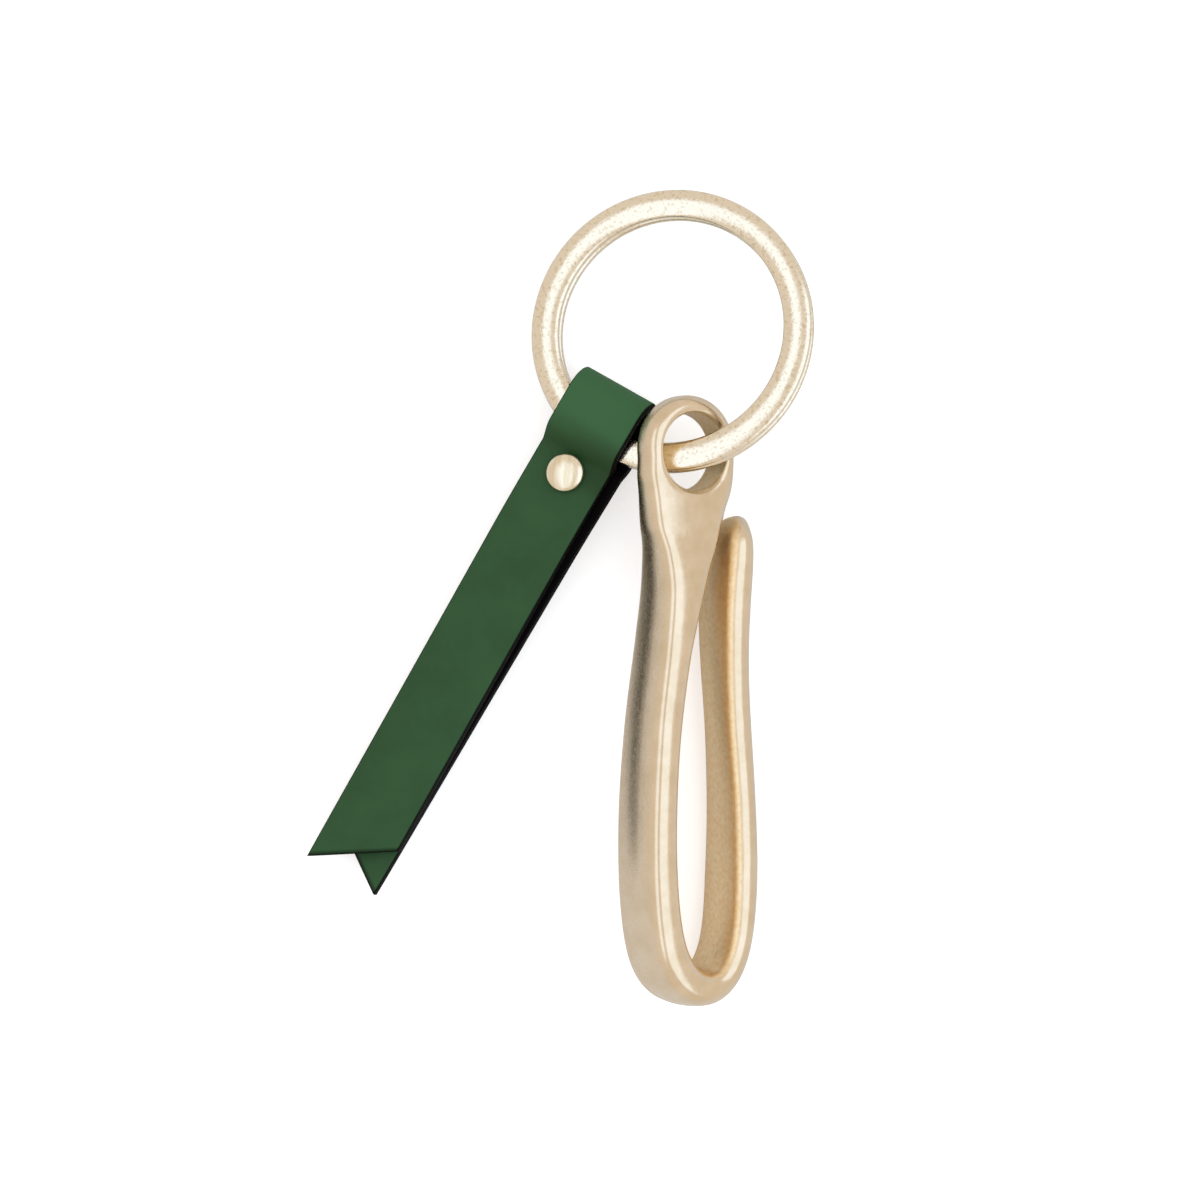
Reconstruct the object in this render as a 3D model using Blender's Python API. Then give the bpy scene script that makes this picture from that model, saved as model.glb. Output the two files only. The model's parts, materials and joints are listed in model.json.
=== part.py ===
"""Key hook shaped like a fish hook, on a split ring that also carries a folded leather strap.

The part lies on a table as it is laid down: +X across, +Y towards the ring, +Z up, with the centre
of its box's underside at the origin. All lengths are in metres and all angles in degrees.
"""

import math

import bmesh
import bpy
from mathutils import Matrix, Vector

# Split ring: a flat domed wire, wound twice
RING_OUTER_DIAMETER = 0.0360
RING_BAND_WIDTH = 0.0036
RING_TURN_HEIGHT = 0.0014
RING_TURN_GAP = 0.0003
RING_SECTION_POWER_SHARE = 0.6
RING_CLIMB_START = 246.0
RING_CLIMB_SWEEP = 28.0
RING_END_SWEEP = 1.5
RING_SECTION_SIDES = 12
RING_STEPS = 92

# Hook casting
HOOK_REACH = 0.0685
HOOK_SPAN = 0.0166
SHANK_WIDTH = 0.0045
BEND_DEPTH = 0.0092
HOOK_EDGE_RADIUS = 0.0016
EYE_DEPTH = 0.0044
EYE_RIM_WIDTH = 0.0019
EYE_CROWN_OFFSET = 0.00035
EYE_EDGE_RADIUS = 0.00085
EYE_CLEARANCE = 0.00072
EYE_INSET = 0.00066
EYE_SEGMENTS = 48
EDGE_STEPS = 3
STEPS_BETWEEN_STATIONS = 2
CUTTER_OVERRUN = 0.0020
MERGE_DISTANCE = 0.000001

# Leather strap
STRAP_WIDTH = 0.0101
STRAP_THICKNESS = 0.0015
STRAP_PLY_GAP = 0.0003
STRAP_EDGE_CHAMFER = 0.00018
STRAP_SPACING = 0.01153
STRAP_BACK_SHIFT = 0.0008
STRAP_BACK_SKEW = 1.2
STRAP_LOOP_CLEARANCE = 0.0003
STRAP_LOOP_SLACK = 0.0012
STRAP_CLOSING_LENGTH = 0.0022
STRAP_BEND_LENGTH = 0.0080
STRAP_TAIL_LENGTH = 0.0582
STRAP_CUT_ANGLE = 33.0
STRAP_CLOSING_STEPS = 8
STRAP_FOLD_STEPS = 7
STRAP_BEND_STEPS = 4

# Double-cap rivet
RIVET_SETBACK = 0.0023
RIVET_CAP_DIAMETER = 0.0048
RIVET_CAP_HEIGHT = 0.0011
RIVET_CAP_WALL = 0.00035
RIVET_FLANGE_HEIGHT = 0.00035
RIVET_POST_DIAMETER = 0.0013
RIVET_SOCKET_WALL = 0.00045
RIVET_CLEARANCE = 0.0003
RIVET_SEGMENTS = 32

# How the part lies on the table
RING_LEAN = 15.3
RING_HEADING = -30.3
HOOK_ROLL = 34.5
WIRE_SLANT = 13.4
EYE_PLACE = -52.4
LARGEST_TILT = 20.0
HALVINGS = 40
SHARP_ANGLE = 35.0
FULL_TURN = 360.0

# Sizes that follow from the ones above
RING_MID_RADIUS = (RING_OUTER_DIAMETER - RING_BAND_WIDTH) / 2
RING_INNER_RADIUS = RING_OUTER_DIAMETER / 2 - RING_BAND_WIDTH
RING_HALF_STACK = RING_TURN_HEIGHT + RING_TURN_GAP / 2
RING_TURN_LEVEL = (RING_TURN_HEIGHT + RING_TURN_GAP) / 2
WIRE_CROSSING = math.radians(HOOK_ROLL + WIRE_SLANT)
WIRE_REACH = RING_HALF_STACK / math.sin(WIRE_CROSSING) + EYE_DEPTH / 2 / math.tan(WIRE_CROSSING)
EYE_HOLE_RADIUS = WIRE_REACH + EYE_CLEARANCE
EYE_OUTER_RADIUS = EYE_HOLE_RADIUS + EYE_RIM_WIDTH
STRAP_LEVEL = (STRAP_THICKNESS + STRAP_PLY_GAP) / 2
LOOP_HALF_HEIGHT = RING_HALF_STACK + STRAP_LOOP_CLEARANCE
LOOP_LEVEL = LOOP_HALF_HEIGHT + STRAP_THICKNESS / 2
LAID_HALF_HEIGHT = STRAP_THICKNESS + STRAP_PLY_GAP / 2
RIVET_SOCKET_BORE = RIVET_POST_DIAMETER / 2 + RIVET_CLEARANCE
RIVET_SOCKET_RADIUS = RIVET_SOCKET_BORE + RIVET_SOCKET_WALL
RIVET_HOLE_RADIUS = RIVET_SOCKET_RADIUS + RIVET_CLEARANCE

# Stations down the neck, from inside the eye to the shank. Each row is the place across, the place
# below the hole, the width and the depth, as shares of the eye's radius, radius, diameter and depth.
NECK_STATION_SHARES = (
    (0.000, 0.22, 0.985, 1.00),
    (-0.015, 0.46, 0.985, 1.01),
    (-0.045, 0.69, 0.945, 1.05),
    (-0.080, 0.92, 0.862, 1.11),
    (-0.110, 1.19, 0.806, 1.17),
    (-0.130, 1.42, 0.756, 1.21),
    (-0.145, 1.66, 0.692, 1.28),
)

# Stations down the shank, round the bend and up the limb to the tip. Each row is the place across,
# the place below the neck, the width and the depth, as shares of the span, the length below the
# neck, the shank's nominal width and the bend's depth.
HOOK_STATION_SHARES = (
    (-0.082, 0.036, 1.68, 0.720),
    (-0.104, 0.073, 1.45, 0.805),
    (-0.127, 0.113, 1.245, 0.864),
    (-0.165, 0.166, 1.11, 0.902),
    (-0.212, 0.232, 0.97, 0.930),
    (-0.254, 0.302, 0.925, 0.951),
    (-0.298, 0.383, 0.912, 0.962),
    (-0.329, 0.467, 0.885, 0.978),
    (-0.350, 0.555, 0.887, 1.00),
    (-0.359, 0.639, 0.890, 1.00),
    (-0.353, 0.722, 0.910, 1.00),
    (-0.337, 0.788, 0.92, 1.00),
    (-0.304, 0.853, 0.94, 1.00),
    (-0.258, 0.902, 0.98, 0.995),
    (-0.172, 0.944, 1.02, 0.99),
    (-0.036, 0.973, 0.98, 0.98),
    (0.108, 0.976, 0.87, 0.97),
    (0.217, 0.962, 0.78, 0.955),
    (0.298, 0.937, 0.74, 0.945),
    (0.369, 0.892, 0.74, 0.935),
    (0.406, 0.840, 0.76, 0.93),
    (0.430, 0.748, 0.80, 0.935),
    (0.436, 0.646, 0.79, 0.88),
    (0.428, 0.557, 0.77, 0.848),
    (0.413, 0.470, 0.81, 0.793),
    (0.393, 0.383, 0.815, 0.761),
    (0.364, 0.269, 0.80, 0.826),
    (0.361, 0.175, 0.83, 0.87),
    (0.379, 0.088, 0.85, 0.891),
    (0.405, 0.043, 0.81, 0.848),
    (0.421, -0.004, 0.76, 0.795),
    (0.449, -0.0255, 0.63, 0.64),
    (0.473, -0.0388, 0.47, 0.48),
    (0.487, -0.0477, 0.33, 0.34),
    (0.492, -0.0532, 0.20, 0.20),
    (0.494, -0.0559, 0.067, 0.065),
)
LARGEST_CORNER_SHARES = (0.46, 0.25)

# The dome of a rivet's cap, from its rim to its crown, as shares of its radius and its height
RIVET_DOME_SHARES = ((1.0, 0.0), (1.0, 0.40), (0.95, 0.60), (0.80, 0.82), (0.50, 0.96), (0.0, 1.0))

CHAMPAGNE_CAST = ((0.69, 0.54, 0.34), 0.34, 1.0)
CHAMPAGNE_WIRE = ((0.72, 0.58, 0.38), 0.26, 1.0)
CHAMPAGNE_CAP = ((0.72, 0.59, 0.42), 0.30, 1.0)
DRAWN_BRASS = ((0.55, 0.50, 0.42), 0.40, 1.0)
GREEN_LEATHER = ((0.035, 0.105, 0.045), 0.55, 0.0)


def clear_scene():
    for thing in list(bpy.context.scene.objects):
        bpy.data.objects.remove(thing, do_unlink=True)


def make_material(name, finish):
    colour, roughness, metallic = finish
    material = bpy.data.materials.new(name)
    material.use_nodes = True
    shader = material.node_tree.nodes["Principled BSDF"]
    shader.inputs["Base Color"].default_value = (*colour, 1.0)
    shader.inputs["Roughness"].default_value = roughness
    shader.inputs["Metallic"].default_value = metallic
    return material


def add_object(name, bm, parent, finish=None):
    """Turn a bmesh into a named object that sits at its parent's place."""
    mesh = bpy.data.meshes.new(name)
    bmesh.ops.recalc_face_normals(bm, faces=bm.faces)
    bm.to_mesh(mesh)
    bm.free()
    mesh.shade_smooth()
    mesh.set_sharp_from_angle(angle=math.radians(SHARP_ANGLE))
    thing = bpy.data.objects.new(name, mesh)
    bpy.context.scene.collection.objects.link(thing)
    thing.parent = parent
    if finish:
        mesh.materials.append(make_material(name + "_finish", finish))
    return thing


def add_empty(name, parent, matrix):
    empty = bpy.data.objects.new(name, None)
    bpy.context.scene.collection.objects.link(empty)
    empty.parent = parent
    empty.matrix_local = matrix
    return empty


def mark_as_cutter(thing):
    thing.hide_render = True
    thing.display_type = "WIRE"


def add_boolean(thing, name, operation, other):
    boolean = thing.modifiers.new(name, "BOOLEAN")
    boolean.operation = operation
    boolean.solver = "EXACT"
    boolean.object = other


def loft(rings):
    """Skin a row of closed rings that have as many points each, and cap both ends."""
    bm = bmesh.new()
    loops = [[bm.verts.new(point) for point in ring] for ring in rings]
    for first, second in zip(loops, loops[1:]):
        for here in range(len(first)):
            there = (here + 1) % len(first)
            bm.faces.new((first[here], first[there], second[there], second[here]))
    bm.faces.new(loops[0])
    bm.faces.new(loops[-1])
    return bm


def lathe(profile, segments):
    """Turn a profile of (radius, height) points that starts and ends on the axis."""
    bm = bmesh.new()
    points = [bm.verts.new((radius, 0, height)) for radius, height in profile]
    edges = [bm.edges.new(pair) for pair in zip(points, points[1:])]
    bmesh.ops.spin(
        bm,
        geom=points + edges,
        axis=(0, 0, 1),
        cent=(0, 0, 0),
        angle=math.tau,
        steps=segments,
        use_merge=True,
    )
    bmesh.ops.remove_doubles(bm, verts=bm.verts, dist=MERGE_DISTANCE)
    return bm


def arc(centre, radius, start, end, steps):
    """Points of a flat arc between two angles in degrees, ends included."""
    angles = [math.radians(start + (end - start) * step / steps) for step in range(steps + 1)]
    return [(centre[0] + radius * math.cos(a), centre[1] + radius * math.sin(a)) for a in angles]


def signed_power(value, power):
    return math.copysign(abs(value) ** power, value)


def eased(share):
    """A smooth climb from 0 to 1."""
    share = min(max(share, 0), 1)
    return share * share * (3 - 2 * share)


def angle_that_touches(lowest_at):
    """The tilt in degrees at which the lowest point meets the table; more tilt sinks it."""
    low, high = -LARGEST_TILT, LARGEST_TILT
    for _ in range(HALVINGS):
        middle = (low + high) / 2
        if lowest_at(middle) > 0:
            low = middle
        else:
            high = middle
    return low


def lowest(points, matrix):
    return min((matrix @ Vector(point)).z for point in points)


def turned(angle, axis):
    return Matrix.Rotation(math.radians(angle), 4, axis)


# Split ring

def ring_section():
    """Domed section of the wire, as (outwards, up) from its middle."""
    points = []
    for side in range(RING_SECTION_SIDES):
        angle = math.tau * side / RING_SECTION_SIDES
        out = signed_power(math.cos(angle), RING_SECTION_POWER_SHARE) * RING_BAND_WIDTH / 2
        up = signed_power(math.sin(angle), RING_SECTION_POWER_SHARE) * RING_TURN_HEIGHT / 2
        points.append((out, up))
    return points


def ring_loops():
    """Rings of points along the wire: the lower turn, the climb and the upper turn."""
    start = RING_CLIMB_START + RING_CLIMB_SWEEP + RING_END_SWEEP
    end = RING_CLIMB_START + 2 * FULL_TURN - RING_END_SWEEP
    climb_start = RING_CLIMB_START + FULL_TURN
    loops = []
    for step in range(RING_STEPS + 1):
        angle = start + (end - start) * step / RING_STEPS
        climbed = eased((angle - climb_start) / RING_CLIMB_SWEEP)
        level = (2 * climbed - 1) * RING_TURN_LEVEL
        cosine = math.cos(math.radians(angle))
        sine = math.sin(math.radians(angle))
        loop = []
        for out, up in ring_section():
            radius = RING_MID_RADIUS + out
            loop.append((radius * cosine, radius * sine, level + up))
        loops.append(loop)
    return loops


def ring_turn():
    return turned(RING_HEADING, "Z") @ turned(-RING_LEAN, "Y")


def ring_matrix():
    """The ring's place: its lowest edge on the table."""
    points = [point for loop in ring_loops() for point in loop]
    height = -lowest(points, ring_turn())
    return Matrix.Translation((0, 0, height)) @ ring_turn()


def build_ring(parent):
    return add_object("split_ring", loft(ring_loops()), parent, CHAMPAGNE_WIRE)


# Hook

def hook_stations():
    """Rows of (across, up, width, depth) from the eye to the tip."""
    rows = []
    for across, below, width, depth in NECK_STATION_SHARES:
        row = (
            across * EYE_OUTER_RADIUS,
            -below * EYE_OUTER_RADIUS,
            width * 2 * EYE_OUTER_RADIUS,
            depth * EYE_DEPTH,
        )
        rows.append(Vector(row))
    neck_end = -rows[-1][1]
    for across, below, width, depth in HOOK_STATION_SHARES:
        row = (
            across * HOOK_SPAN,
            -neck_end - below * (HOOK_REACH - neck_end),
            width * SHANK_WIDTH,
            depth * BEND_DEPTH,
        )
        rows.append(Vector(row))
    return rows


def smooth_rows(rows, steps):
    """A smooth run through the rows, paced by the distance between their centres."""
    chords = [(after.xy - before.xy).length for before, after in zip(rows, rows[1:])]
    rates = [(after - before) / chord for before, after, chord in zip(rows, rows[1:], chords)]
    slopes = [rates[0]]
    for number in range(1, len(rates)):
        first, second = chords[number - 1], chords[number]
        slopes.append((rates[number - 1] * second + rates[number] * first) / (first + second))
    slopes.append(rates[-1])
    run = []
    for number, chord in enumerate(chords):
        for step in range(steps):
            share = step / steps
            rise = eased(share)
            leave = share * (1 - share) ** 2 * chord
            arrive = share * share * (share - 1) * chord
            row = rows[number] * (1 - rise) + rows[number + 1] * rise
            run.append(row + slopes[number] * leave + slopes[number + 1] * arrive)
    run.append(rows[-1])
    return run


def rounded_section(width, depth):
    """Section of the casting as (across, deep) points, with rounded corners."""
    width_share, depth_share = LARGEST_CORNER_SHARES
    radius = min(HOOK_EDGE_RADIUS, width_share * width, depth_share * depth)
    across = width / 2 - radius
    deep = depth / 2 - radius
    points = arc((across, deep), radius, 0, 90, EDGE_STEPS)
    points += arc((-across, deep), radius, 90, 180, EDGE_STEPS)
    points += arc((-across, -deep), radius, 180, 270, EDGE_STEPS)
    points += arc((across, -deep), radius, 270, 360, EDGE_STEPS)
    return points


def hook_loops():
    """Rings of points along the casting, in the hook's own frame with the hole at its origin."""
    run = smooth_rows(hook_stations(), STEPS_BETWEEN_STATIONS)
    loops = []
    for number, row in enumerate(run):
        before = run[max(number - 1, 0)].xy
        after = run[min(number + 1, len(run) - 1)].xy
        along = (after - before).normalized()
        side = Vector((-along.y, along.x))
        loop = []
        for across, deep in rounded_section(row[2], row[3]):
            place = row.xy + side * across
            loop.append((place.x, place.y, deep))
        loops.append(loop)
    return loops


def hook_matrix(ring_place):
    """The hook's place: its hole on the ring's wire, tilted until its bend meets the table."""
    radius = RING_MID_RADIUS - EYE_INSET
    place = math.radians(EYE_PLACE)
    hole = ring_place @ Vector((radius * math.cos(place), radius * math.sin(place), 0))
    points = [point for loop in hook_loops() for point in loop]

    def matrix_at(pitch):
        return Matrix.Translation(hole) @ turned(pitch, "X") @ turned(HOOK_ROLL, "Y")

    return matrix_at(angle_that_touches(lambda pitch: lowest(points, matrix_at(pitch))))


def eye_profile():
    """Half outline of the eye's disc, from its back to its front."""
    half = EYE_DEPTH / 2
    edge = EYE_OUTER_RADIUS - EYE_EDGE_RADIUS
    back = arc((edge, EYE_EDGE_RADIUS - half), EYE_EDGE_RADIUS, -90, 0, EDGE_STEPS)
    front = arc((edge, half - EYE_EDGE_RADIUS), EYE_EDGE_RADIUS, 0, 90, EDGE_STEPS)
    return [(0, -half)] + back + front + [(0, half)]


def hole_profile():
    """Half outline of the hole's cutter, which flares to round both edges of the hole."""
    half = EYE_DEPTH / 2
    flare = EYE_HOLE_RADIUS + EYE_EDGE_RADIUS
    end = BEND_DEPTH / 2 + CUTTER_OVERRUN
    back = arc((flare, EYE_EDGE_RADIUS - half), EYE_EDGE_RADIUS, 270, 180, EDGE_STEPS)
    front = arc((flare, half - EYE_EDGE_RADIUS), EYE_EDGE_RADIUS, 180, 90, EDGE_STEPS)
    return [(0, -end), (flare, -end)] + back + front + [(flare, end), (0, end)]


def build_hook(parent):
    """The casting: neck, shank, bend, limb and tip in one run, an eye joined on, a hole cut out."""
    hook = add_object("hook", loft(hook_loops()), parent, CHAMPAGNE_CAST)
    eye = add_object("eye_disc", lathe(eye_profile(), EYE_SEGMENTS), parent)
    eye.location = (0, EYE_CROWN_OFFSET, 0)
    hole = add_object("eye_hole", lathe(hole_profile(), EYE_SEGMENTS), parent)
    add_boolean(hook, "join_eye", "UNION", eye)
    add_boolean(hook, "cut_hole", "DIFFERENCE", hole)
    mark_as_cutter(eye)
    mark_as_cutter(hole)
    return hook


# Leather strap

def strap_axis():
    """The strap's place across the ring, beside the hook's eye."""
    eye = (RING_MID_RADIUS - EYE_INSET) * math.cos(math.radians(EYE_PLACE))
    return eye - STRAP_SPACING


def ring_edge(radius, across):
    """How far below the ring's centre a circle of the ring lies at a place across it."""
    return math.sqrt(max(radius * radius - across * across, 0))


def fold_centre():
    """Centre of the fold, below the ring's centre: inside the wire by the loop's slack."""
    far = max(abs(strap_axis() - STRAP_WIDTH / 2), abs(strap_axis() + STRAP_WIDTH / 2))
    return STRAP_LOOP_SLACK - ring_edge(RING_INNER_RADIUS, far) - LOOP_HALF_HEIGHT


def closing_start():
    """Where the two plies begin to close below the wire."""
    near = max(abs(strap_axis()) - STRAP_WIDTH / 2, 0)
    return STRAP_LOOP_CLEARANCE - ring_edge(RING_OUTER_DIAMETER / 2, near)


def rivet_place():
    return closing_start() - STRAP_CLOSING_LENGTH - RIVET_SETBACK


def tail_run(droop, length):
    """The middle of the two laid plies, a length past the rivet: (along, up, slope)."""
    straight = RIVET_CAP_DIAMETER / 2 + RIVET_CLEARANCE
    bent = max(length - straight, 0)
    past = max(bent - STRAP_BEND_LENGTH, 0)
    slope = math.radians(droop) * min(bent / STRAP_BEND_LENGTH, 1)
    chord = min(bent, STRAP_BEND_LENGTH)
    along = min(length, straight) + chord * math.cos(slope / 2) + past * math.cos(slope)
    down = chord * math.sin(slope / 2) + past * math.sin(slope)
    return rivet_place() - along, -down, slope


def back_shift(length):
    """How far the back ply lies beside the front one, a length past the rivet."""
    return STRAP_BACK_SHIFT - length * math.tan(math.radians(STRAP_BACK_SKEW))


def strap_section():
    """Section of the leather as (across, up) points, with small chamfers."""
    side = STRAP_WIDTH / 2
    top = STRAP_THICKNESS / 2
    cut = STRAP_EDGE_CHAMFER
    return (
        (side, cut - top),
        (side, top - cut),
        (side - cut, top),
        (cut - side, top),
        (-side, top - cut),
        (-side, cut - top),
        (cut - side, -top),
        (side - cut, -top),
    )


def tail_loop(droop, length, face, sheared):
    """One ring of a tail. Face is 1 for the front ply and -1 for the back ply."""
    slant = math.tan(math.radians(STRAP_CUT_ANGLE)) if sheared else 0
    loop = []
    for across, up in strap_section():
        place = length - (STRAP_WIDTH / 2 + face * across) * slant
        along, height, angle = tail_run(droop, place)
        level = face * (STRAP_LEVEL + up)
        beside = back_shift(place) if face < 0 else 0
        loop.append((across + beside, along - level * math.sin(angle), height + level * math.cos(angle)))
    return loop


def loop_line():
    """Middle line of the front ply from the rivet up to the fold's crown: (along, up)."""
    points = []
    for step in range(STRAP_CLOSING_STEPS + 1):
        share = step / STRAP_CLOSING_STEPS
        along = closing_start() - STRAP_CLOSING_LENGTH * (1 - share)
        points.append((along, STRAP_LEVEL + (LOOP_LEVEL - STRAP_LEVEL) * eased(share)))
    for step in range(STRAP_FOLD_STEPS + 1):
        angle = math.radians(90 - 90 * step / STRAP_FOLD_STEPS)
        points.append((fold_centre() + LOOP_LEVEL * math.cos(angle), LOOP_LEVEL * math.sin(angle)))
    return points


def line_loops(points):
    """Rings across a line of (along, up) points, square to it. Past the crown they move sideways."""
    loops = []
    crown = (len(points) - 1) / 2
    for number, here in enumerate(points):
        beside = back_shift(-RIVET_SETBACK) * eased(number / crown - 1)
        before = Vector(points[max(number - 1, 0)])
        after = Vector(points[min(number + 1, len(points) - 1)])
        direction = (after - before).normalized()
        normal = Vector((-direction.y, direction.x))
        loop = []
        for across, up in strap_section():
            place = Vector(here) + normal * up
            loop.append((across + beside, place.x, place.y))
        loops.append(loop)
    return loops


def strap_loops(droop):
    """Rings along the whole strip: front tail, loop, back tail."""
    bend_start = RIVET_CAP_DIAMETER / 2 + RIVET_CLEARANCE
    lengths = []
    for step in range(STRAP_BEND_STEPS, -1, -1):
        lengths.append(bend_start + STRAP_BEND_LENGTH * step / STRAP_BEND_STEPS)
    front = [tail_loop(droop, STRAP_TAIL_LENGTH, 1, True)]
    front += [tail_loop(droop, length, 1, False) for length in lengths]
    back = [tail_loop(droop, STRAP_TAIL_LENGTH, -1, True)]
    back += [tail_loop(droop, length, -1, False) for length in lengths]
    upper = loop_line()
    lower = [(along, -up) for along, up in reversed(upper[:-1])]
    middle = line_loops(upper + lower)
    return front + middle + back[::-1]


def strap_droop(seat):
    """The droop at which the strap's tail meets the table."""
    def lowest_at(droop):
        return lowest([point for loop in strap_loops(droop) for point in loop], seat)

    return angle_that_touches(lowest_at)


def rivet_matrix():
    return Matrix.Translation((0, rivet_place(), 0))


def build_strap(parent, rivet_seat, seat):
    """The strip of leather, with one hole through both of its plies."""
    strap = add_object("leather_strap", loft(strap_loops(strap_droop(seat))), parent, GREEN_LEATHER)
    end = LAID_HALF_HEIGHT + CUTTER_OVERRUN
    profile = ((0, -end), (RIVET_HOLE_RADIUS, -end), (RIVET_HOLE_RADIUS, end), (0, end))
    hole = add_object("rivet_hole", lathe(profile, RIVET_SEGMENTS), rivet_seat)
    add_boolean(strap, "punch_hole", "DIFFERENCE", hole)
    mark_as_cutter(hole)
    return strap


# Rivet

def cap_profile():
    """A domed cap, open below, that goes over the flange of its half."""
    radius = RIVET_CAP_DIAMETER / 2
    base = LAID_HALF_HEIGHT + RIVET_CLEARANCE
    inside = radius - RIVET_CAP_WALL
    ceiling = base + RIVET_CAP_HEIGHT - RIVET_CAP_WALL
    shoulder = base + RIVET_CAP_HEIGHT / 2
    return [
        (0, ceiling),
        (inside, shoulder),
        (inside, base),
    ] + [
        (radius * out, base + RIVET_CAP_HEIGHT * up) for out, up in RIVET_DOME_SHARES
    ]


def flange_radius():
    return RIVET_CAP_DIAMETER / 2 - RIVET_CAP_WALL - RIVET_CLEARANCE


def socket_profile():
    """The front half's flange with its blind tube, which takes the post."""
    base = LAID_HALF_HEIGHT + RIVET_CLEARANCE
    return [
        (0, base + RIVET_FLANGE_HEIGHT),
        (flange_radius(), base + RIVET_FLANGE_HEIGHT),
        (flange_radius(), base),
        (RIVET_SOCKET_RADIUS, base),
        (RIVET_SOCKET_RADIUS, -LAID_HALF_HEIGHT),
        (RIVET_SOCKET_BORE, -LAID_HALF_HEIGHT),
        (RIVET_SOCKET_BORE, base),
        (0, base),
    ]


def post_profile():
    """The back half's flange with the pin that stands in the tube."""
    base = LAID_HALF_HEIGHT + RIVET_CLEARANCE
    return [
        (0, LAID_HALF_HEIGHT),
        (RIVET_POST_DIAMETER / 2, LAID_HALF_HEIGHT),
        (RIVET_POST_DIAMETER / 2, -base),
        (flange_radius(), -base),
        (flange_radius(), -base - RIVET_FLANGE_HEIGHT),
        (0, -base - RIVET_FLANGE_HEIGHT),
    ]


def build_rivet(parent):
    front = cap_profile()
    back = [(radius, -height) for radius, height in front]
    add_object("rivet_front_cap", lathe(front, RIVET_SEGMENTS), parent, CHAMPAGNE_CAP)
    add_object("rivet_socket", lathe(socket_profile(), RIVET_SEGMENTS), parent, DRAWN_BRASS)
    add_object("rivet_post", lathe(post_profile(), RIVET_SEGMENTS), parent, DRAWN_BRASS)
    add_object("rivet_back_cap", lathe(back, RIVET_SEGMENTS), parent, CHAMPAGNE_CAP)


# Whole part

def centre_on_table(layout):
    """Move the whole part so that the middle of its box's underside is the origin."""
    bpy.context.view_layer.update()
    depsgraph = bpy.context.evaluated_depsgraph_get()
    points = []
    for thing in bpy.context.scene.objects:
        if thing.type == "MESH" and not thing.hide_render:
            evaluated = thing.evaluated_get(depsgraph)
            points += [evaluated.matrix_world @ vertex.co for vertex in evaluated.data.vertices]
    low = Vector([min(point[side] for point in points) for side in range(3)])
    high = Vector([max(point[side] for point in points) for side in range(3)])
    layout.location = Vector((-(low.x + high.x) / 2, -(low.y + high.y) / 2, -low.z))


def main():
    clear_scene()
    ring_place = ring_matrix()
    hook_place = hook_matrix(ring_place)
    layout = add_empty("layout", None, Matrix.Identity(4))
    hook_seat = add_empty("hook_seat", layout, hook_place)
    build_hook(hook_seat)
    ring_hinge = add_empty("ring_hinge", layout, hook_place)
    ring_seat = add_empty("ring_seat", ring_hinge, hook_place.inverted() @ ring_place)
    build_ring(ring_seat)
    beside = Matrix.Translation((strap_axis(), 0, 0))
    strap_slide = add_empty("strap_slide", ring_seat, Matrix.Identity(4))
    strap_seat = add_empty("strap_seat", strap_slide, beside)
    rivet_seat = add_empty("rivet_seat", strap_seat, rivet_matrix())
    build_strap(strap_seat, rivet_seat, ring_place @ beside)
    build_rivet(rivet_seat)
    centre_on_table(layout)


main()
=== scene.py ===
"""Looks of a key hook in a fish hook's form, its split ring and its riveted leather strap.

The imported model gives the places. Every new piece stands for one node of it, at the same place and
within the same box, with the finish that the real piece has.
"""

from __future__ import annotations

import json
import logging
import math
from dataclasses import dataclass
from enum import Enum

import bmesh
import bpy
from mathutils import Matrix, Vector
from mathutils.kdtree import KDTree


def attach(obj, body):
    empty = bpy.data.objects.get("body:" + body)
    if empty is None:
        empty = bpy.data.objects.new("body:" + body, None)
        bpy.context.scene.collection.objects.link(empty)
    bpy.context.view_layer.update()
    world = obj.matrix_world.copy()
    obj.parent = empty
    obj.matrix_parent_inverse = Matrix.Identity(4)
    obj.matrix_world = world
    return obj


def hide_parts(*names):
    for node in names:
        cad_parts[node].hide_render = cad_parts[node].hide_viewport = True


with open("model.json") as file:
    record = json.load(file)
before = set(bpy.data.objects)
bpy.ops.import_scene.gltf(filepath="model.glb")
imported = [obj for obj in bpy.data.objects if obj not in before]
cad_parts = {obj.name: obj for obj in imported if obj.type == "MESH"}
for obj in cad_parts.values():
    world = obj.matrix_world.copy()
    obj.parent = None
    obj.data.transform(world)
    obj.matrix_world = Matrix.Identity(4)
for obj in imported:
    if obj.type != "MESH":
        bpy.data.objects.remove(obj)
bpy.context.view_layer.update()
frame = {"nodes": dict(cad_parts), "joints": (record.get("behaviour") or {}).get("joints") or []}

LOG = logging.getLogger("key_hook")
MM = 0.001
SHARP_EDGE = math.radians(40)
WHITE = "#FFFFFF"

Pair = tuple[float, float]
Socket = bpy.types.NodeSocket


class Body(Enum):
    """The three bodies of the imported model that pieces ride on."""

    HOOK = "hook_body"
    RING = "ring_body"
    STRAP = "strap_body"


class Ply(Enum):
    """The two laid plies of the strap."""

    FRONT = 1
    BACK = -1


# Shared helpers


def linear(hex_colour: str) -> tuple[float, float, float, float]:
    """Turn an sRGB hex colour into linear red, green, blue and alpha.

    Args:
        hex_colour: Six hex digits with a leading hash.

    Returns:
        The linear colour with an alpha of one.
    """
    parts = [int(hex_colour[i : i + 2], 16) / 255 for i in (1, 3, 5)]
    red, green, blue = (p / 12.92 if p <= 0.04045 else ((p + 0.055) / 1.055) ** 2.4 for p in parts)
    return red, green, blue, 1.0


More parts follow.
